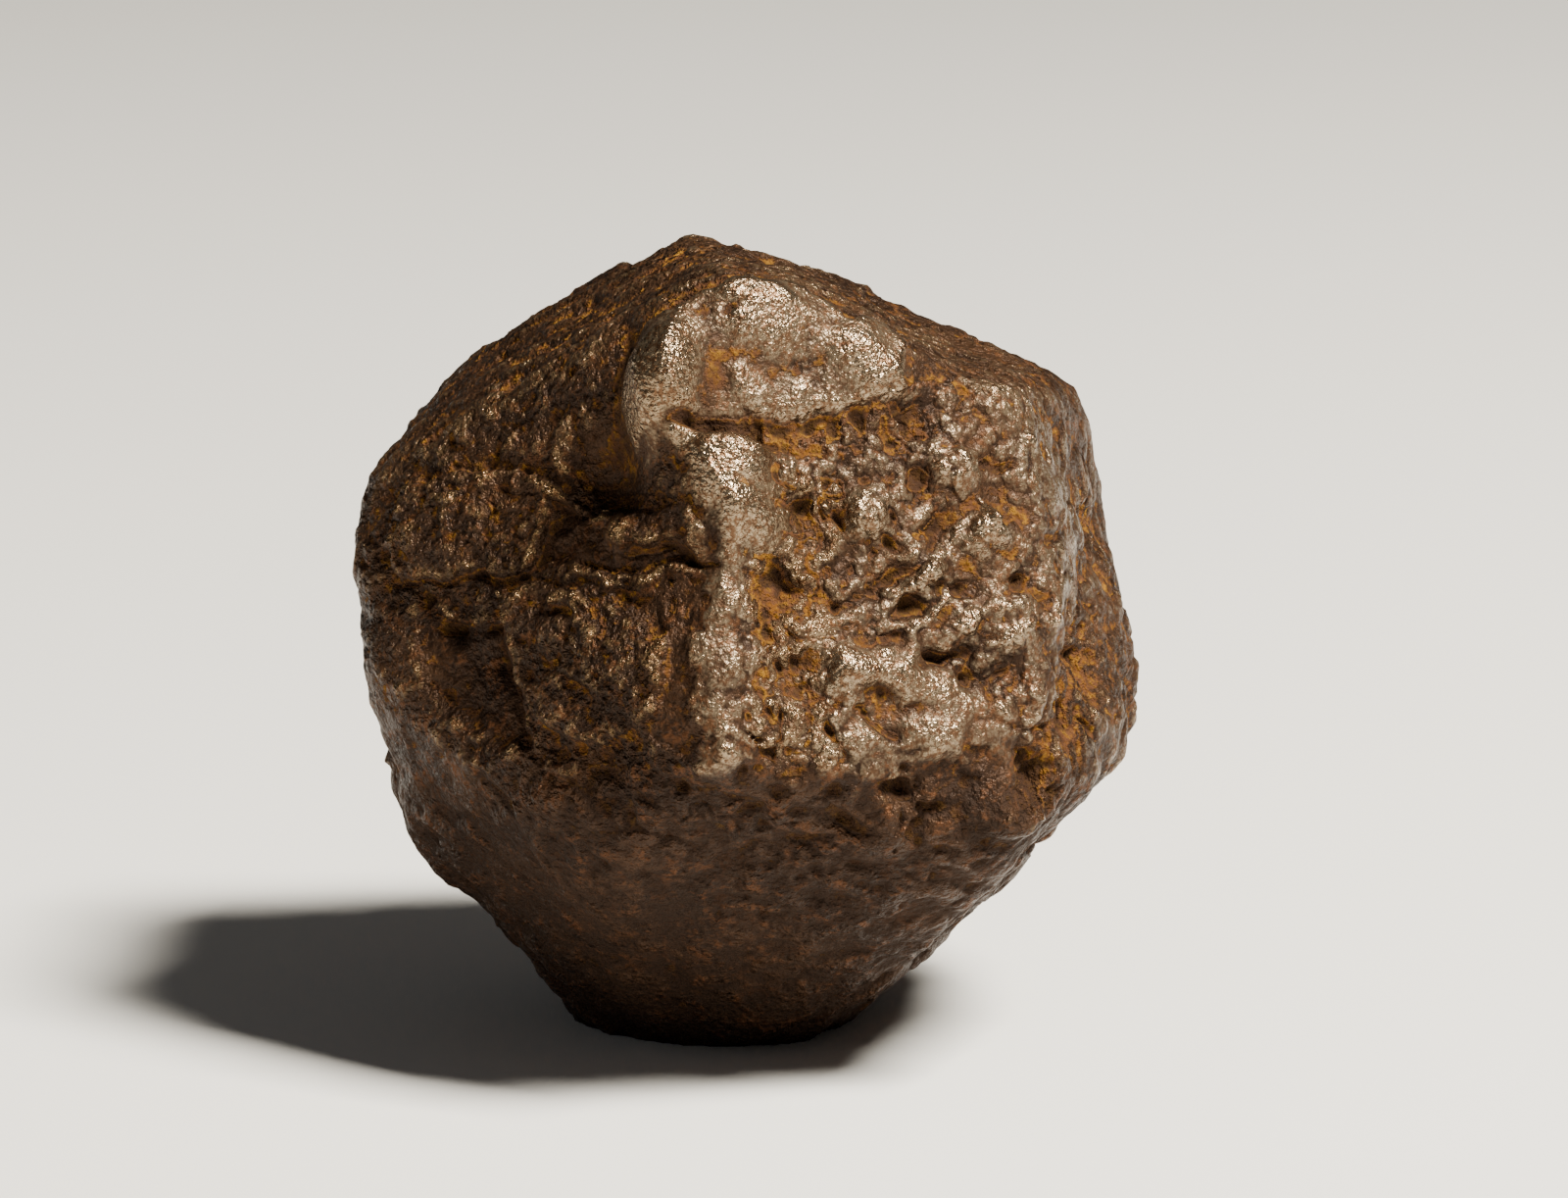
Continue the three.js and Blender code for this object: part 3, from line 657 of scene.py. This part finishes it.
def stone_material(colours):
    """Limonite: bronze-brown iron oxide, metallic on worn tops, matt ochre in every gap and pit.

    Pebbles and grain too fine for the mesh are bumps, in millimetres: tops shine, gaps hold ochre.
    Shade is painted in as dark brown in hollows, in gaps and towards the bottom.
    """
    stone = Shader("limonite")
    place = stone.millimetres()
    broad = stone.noise(place, wave=3.0, detail=3.0)
    patch = stone.noise(place, wave=0.9, detail=3.0, roughness=0.6)
    crumb = stone.noise(place, wave=0.4, detail=3.0, roughness=0.7)
    speck = stone.noise(place, wave=0.22, detail=2.0, roughness=0.6)
    fleck = stone.noise(place, wave=0.08, detail=1.0)
    pebble = stone.cells(stone.warped(place, wave=0.6, amount=0.5), size=0.6)
    grain = stone.cells(stone.warped(place, wave=0.3, amount=0.1), size=0.2)
    grit = stone.cells(place, size=0.3)
    pebbly = stone.attribute("pebbly")
    crusty = stone.attribute("crusty")

    gap = pebble.between(0.56, 0.8) * pebbly
    chink = (grain * 0.5 + speck * 0.8 + (fleck - 0.5) * 0.6).between(0.48, 0.86)
    polish = (stone.attribute("shine") + (patch - 0.5) * 0.8 + (speck - 0.5) * 0.6 + pebbly * 0.3
              - gap - chink * 0.2).between(0.15, 1.7)
    earth = (stone.attribute("ochre") + (patch - 0.5) * 0.8 + (crumb - 0.5) * 0.9 - pebbly * 0.2
             + gap * 0.8 + chink * 0.2).between(0.6, 1.3)
    # Painted shade: from the depth attribute and the gaps between pebbles; it also dulls the metal and raises
    # the roughness there
    painted_shade = (stone.attribute("depth") + (speck - 0.5) * 0.6 + gap * 0.35).between(0.8, 2.0)

    browner = (broad + (speck - 0.5) * 0.8).between(0.3, 0.7)
    brown = stone.blend(browner, (*colours.dark, 1), (*colours.brown, 1))
    rust = stone.blend((patch + (speck - 0.5) * 0.7).between(0.5, 0.75), brown, (*colours.rust, 1))
    golden = stone.blend(crusty * 0.45, (*colours.sheen, 1), (*colours.yellow, 1))
    metal = stone.blend(chink * 0.85, golden, (*colours.rust, 1))
    worn = stone.blend(polish, rust, metal)
    yellow_grains = (crumb + (fleck - 0.5) * 0.3).between(0.42, 0.66)
    yellow = stone.blend(yellow_grains, (*colours.ochre, 1), (*colours.yellow, 1))
    earthen = stone.blend((speck + (patch - 0.5) * 0.8).between(0.4, 0.62), (*colours.rust, 1), yellow)
    # Painted shade: hollows, gaps and the lower part are blended towards dark brown
    colour = stone.blend(painted_shade * 0.8, stone.blend(earth, worn, earthen), (*colours.dark, 1))

    height = (speck * (0.09 + crusty * 0.16) - grain * 0.03 + fleck * 0.025 - pebble * pebble * pebbly * 0.18
              + crumb * (earth * 0.14 + crusty * 0.28) - grit * crusty * 0.16)
    bump = stone.node("ShaderNodeBump", {}, {"Strength": 1.0, "Distance": MILLIMETRE, "Height": height})
    bare = 1 - earth
    stone.fill(stone.surface, {
        "Base Color": colour,
        "Metallic": bare * (polish * 0.5 + 0.42 - painted_shade * 0.4),
        "Roughness": (0.42 - polish * 0.24 + chink * 0.16 - crusty * 0.08 + painted_shade * 0.4) * bare + earth * 0.85,
        "Specular IOR Level": 0.12,
        "Normal": bump,
    })
    return stone.material


def floor_material(colours):
    """Plain matt paper, pale and very slightly mottled."""
    paper = Shader("pale_floor")
    place = paper.millimetres()
    lighter = [min(1.0, value * 1.02) for value in colours.floor]
    paper.fill(paper.surface, {
        "Base Color": paper.blend(paper.noise(place, wave=40.0), (*colours.floor, 1), (*lighter, 1)),
        "Roughness": 0.85,
    })
    return paper.material


def add_softbox(name, bearing, tilt, distance, size, colour, power, middle):
    """Square area light at a bearing and tilt from the crystal, aimed at its middle."""
    light = bpy.data.lights.new(name, "AREA")
    light.size = size
    light.energy = power
    light.color = colour
    lamp = bpy.data.objects.new(name, light)
    bpy.context.scene.collection.objects.link(lamp)
    offset = Vector(facing(bearing, tilt)) * distance
    turn = offset.to_track_quat("Z", "Y").to_matrix().to_4x4()
    lamp.matrix_world = Matrix.Translation(Vector(middle) + offset) @ turn


def colour_property(name, description, default):
    """Red, green and blue that a user can change."""
    return bpy.props.FloatVectorProperty(
        name=name, description=description, default=default, subtype="COLOR", size=3, min=0.0, max=1.0)


class CrystalSettings(bpy.types.PropertyGroup):
    """Sizes and colours of the crystal."""

    centre_height: bpy.props.FloatProperty(
        name="Middle height", description="Height of the crystal's middle above the spot it rests on",
        default=0.015, min=0.001, unit="LENGTH")
    upper_sharpness: bpy.props.FloatProperty(
        name="Upper sharpness", description="How sharp the edges of the upper faces have stayed",
        default=26.0, min=2.0, max=80.0)
    lower_sharpness: bpy.props.FloatProperty(
        name="Lower sharpness", description="How sharp the edges of the lower faces have stayed",
        default=15.0, min=2.0, max=80.0)
    fine_relief: bpy.props.FloatProperty(
        name="Fine relief", description="Strength of the pits, channels and grain",
        default=1.0, min=0.0, max=2.0, subtype="FACTOR")
    divisions: bpy.props.IntProperty(
        name="Divisions", description="Cells along a side of the cube the mesh is swelled from",
        default=129, min=8, max=129)
    crowding: bpy.props.FloatProperty(
        name="Crowding", description="How far the cells crowd to the front",
        default=0.25, min=0.0, max=0.5, subtype="FACTOR")
    dark: colour_property("Dark brown", "Deepest brown of the stone", (0.018, 0.009, 0.005))
    brown: colour_property("Brown", "Main brown of the stone", (0.042, 0.021, 0.011))
    rust: colour_property("Rust", "Reddish patches", (0.075, 0.030, 0.012))
    sheen: colour_property("Worn metal", "Grey-brown of the worn high points", (0.255, 0.192, 0.126))
    ochre: colour_property("Ochre", "Earthy orange of the pits", (0.105, 0.039, 0.005))
    yellow: colour_property("Yellow ochre", "Yellow grains in the ochre", (0.19, 0.090, 0.010))


class StageSettings(bpy.types.PropertyGroup):
    """Floor, lights and camera."""

    floor: colour_property("Floor", "Colour of the plain floor", (0.80, 0.79, 0.77))
    floor_size: bpy.props.FloatProperty(
        name="Floor size", description="Width of the floor", default=4.0, min=0.2, unit="LENGTH")
    key_power: bpy.props.FloatProperty(
        name="Key light", description="Power of the light at the upper right", default=9.0, min=0.0,
        unit="POWER")
    fill_power: bpy.props.FloatProperty(
        name="Fill light", description="Power of the light at the left", default=0.15, min=0.0, unit="POWER")
    surroundings: bpy.props.FloatProperty(
        name="Surroundings", description="Strength of the even light from all round", default=0.055, min=0.0)
    camera_distance: bpy.props.FloatProperty(
        name="Camera distance", description="From the camera to the crystal", default=0.32, min=0.05,
        unit="LENGTH")
    frame_width: bpy.props.FloatProperty(
        name="Frame width", description="Width of the picture at the crystal", default=0.06038, min=0.01,
        unit="LENGTH")
    aim_across: bpy.props.FloatProperty(
        name="Aim across", description="How far right of the crystal's middle the camera aims",
        default=0.001245, unit="LENGTH")
    aim_up: bpy.props.FloatProperty(
        name="Aim up", description="How far above the crystal's middle the camera aims",
        default=0.001736, unit="LENGTH")


class CRYSTAL_OT_build(bpy.types.Operator):
    """Build the worn crystal and its stone material"""

    bl_idname = "crystal.build"
    bl_label = "Build crystal"

    def execute(self, context):
        settings = context.scene.crystal_settings
        crystal = add_surface("worn_crystal", *crystal_surface(settings))
        crystal.data.materials.append(stone_material(settings))
        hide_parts("limonite_crystal")
        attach(crystal, "root")
        return {"FINISHED"}


class CRYSTAL_OT_stage(bpy.types.Operator):
    """Add the pale floor, the soft lights and the camera"""

    bl_idname = "crystal.stage"
    bl_label = "Build stage"

    def execute(self, context):
        settings = context.scene.stage_settings
        scene = context.scene
        half = settings.floor_size / 2
        corners = np.array([(-half, -half, 0), (half, -half, 0), (half, half, 0), (-half, half, 0)])
        floor = add_surface("pale_floor", corners, np.array([[0, 1, 2, 3]]), {})
        floor.data.materials.append(floor_material(settings))

        middle = (0, 0, scene.crystal_settings.centre_height)
        for light, power in zip(LIGHTS, (settings.key_power, settings.fill_power)):
            add_softbox(*light, power, middle)

        world = bpy.data.worlds.new("even_surroundings")
        world.use_nodes = True
        background = world.node_tree.nodes["Background"]
        background.inputs["Color"].default_value = SURROUNDINGS_COLOUR
        background.inputs["Strength"].default_value = settings.surroundings
        scene.world = world

        camera = bpy.data.cameras.new("camera")
        camera.sensor_width = SENSOR_MILLIMETRES
        camera.lens = SENSOR_MILLIMETRES * settings.camera_distance / settings.frame_width
        camera.clip_start = 0.01
        viewer = bpy.data.objects.new("camera", camera)
        scene.collection.objects.link(viewer)
        axes = [Vector(RIGHT), Vector(UP), Vector(TOWARD)]
        target = Vector(middle) + axes[0] * settings.aim_across + axes[1] * settings.aim_up
        turn = Matrix(axes).transposed().to_4x4()
        viewer.matrix_world = Matrix.Translation(target + axes[2] * settings.camera_distance) @ turn
        scene.camera = viewer
        return {"FINISHED"}


class CRYSTAL_PT_sidebar(bpy.types.Panel):
    """Lists the sizes, colours and buttons"""

    bl_idname = "CRYSTAL_PT_sidebar"
    bl_label = "Limonite crystal"
    bl_space_type = "VIEW_3D"
    bl_region_type = "UI"
    bl_category = "Crystal"

    def draw(self, context):
        for settings, operator in (
            (context.scene.crystal_settings, CRYSTAL_OT_build),
            (context.scene.stage_settings, CRYSTAL_OT_stage),
        ):
            box = self.layout.box()
            for name in settings.__annotations__:
                box.prop(settings, name)
            box.operator(operator.bl_idname)


CLASSES = (CrystalSettings, StageSettings, CRYSTAL_OT_build, CRYSTAL_OT_stage, CRYSTAL_PT_sidebar)


def register():
    for cls in CLASSES:
        bpy.utils.register_class(cls)
    bpy.types.Scene.crystal_settings = bpy.props.PointerProperty(type=CrystalSettings)
    bpy.types.Scene.stage_settings = bpy.props.PointerProperty(type=StageSettings)


def unregister():
    del bpy.types.Scene.stage_settings
    del bpy.types.Scene.crystal_settings
    for cls in reversed(CLASSES):
        bpy.utils.unregister_class(cls)


def main():
    register()
    bpy.ops.crystal.build()
    bpy.ops.crystal.stage()


if __name__ == "__main__":
    main()
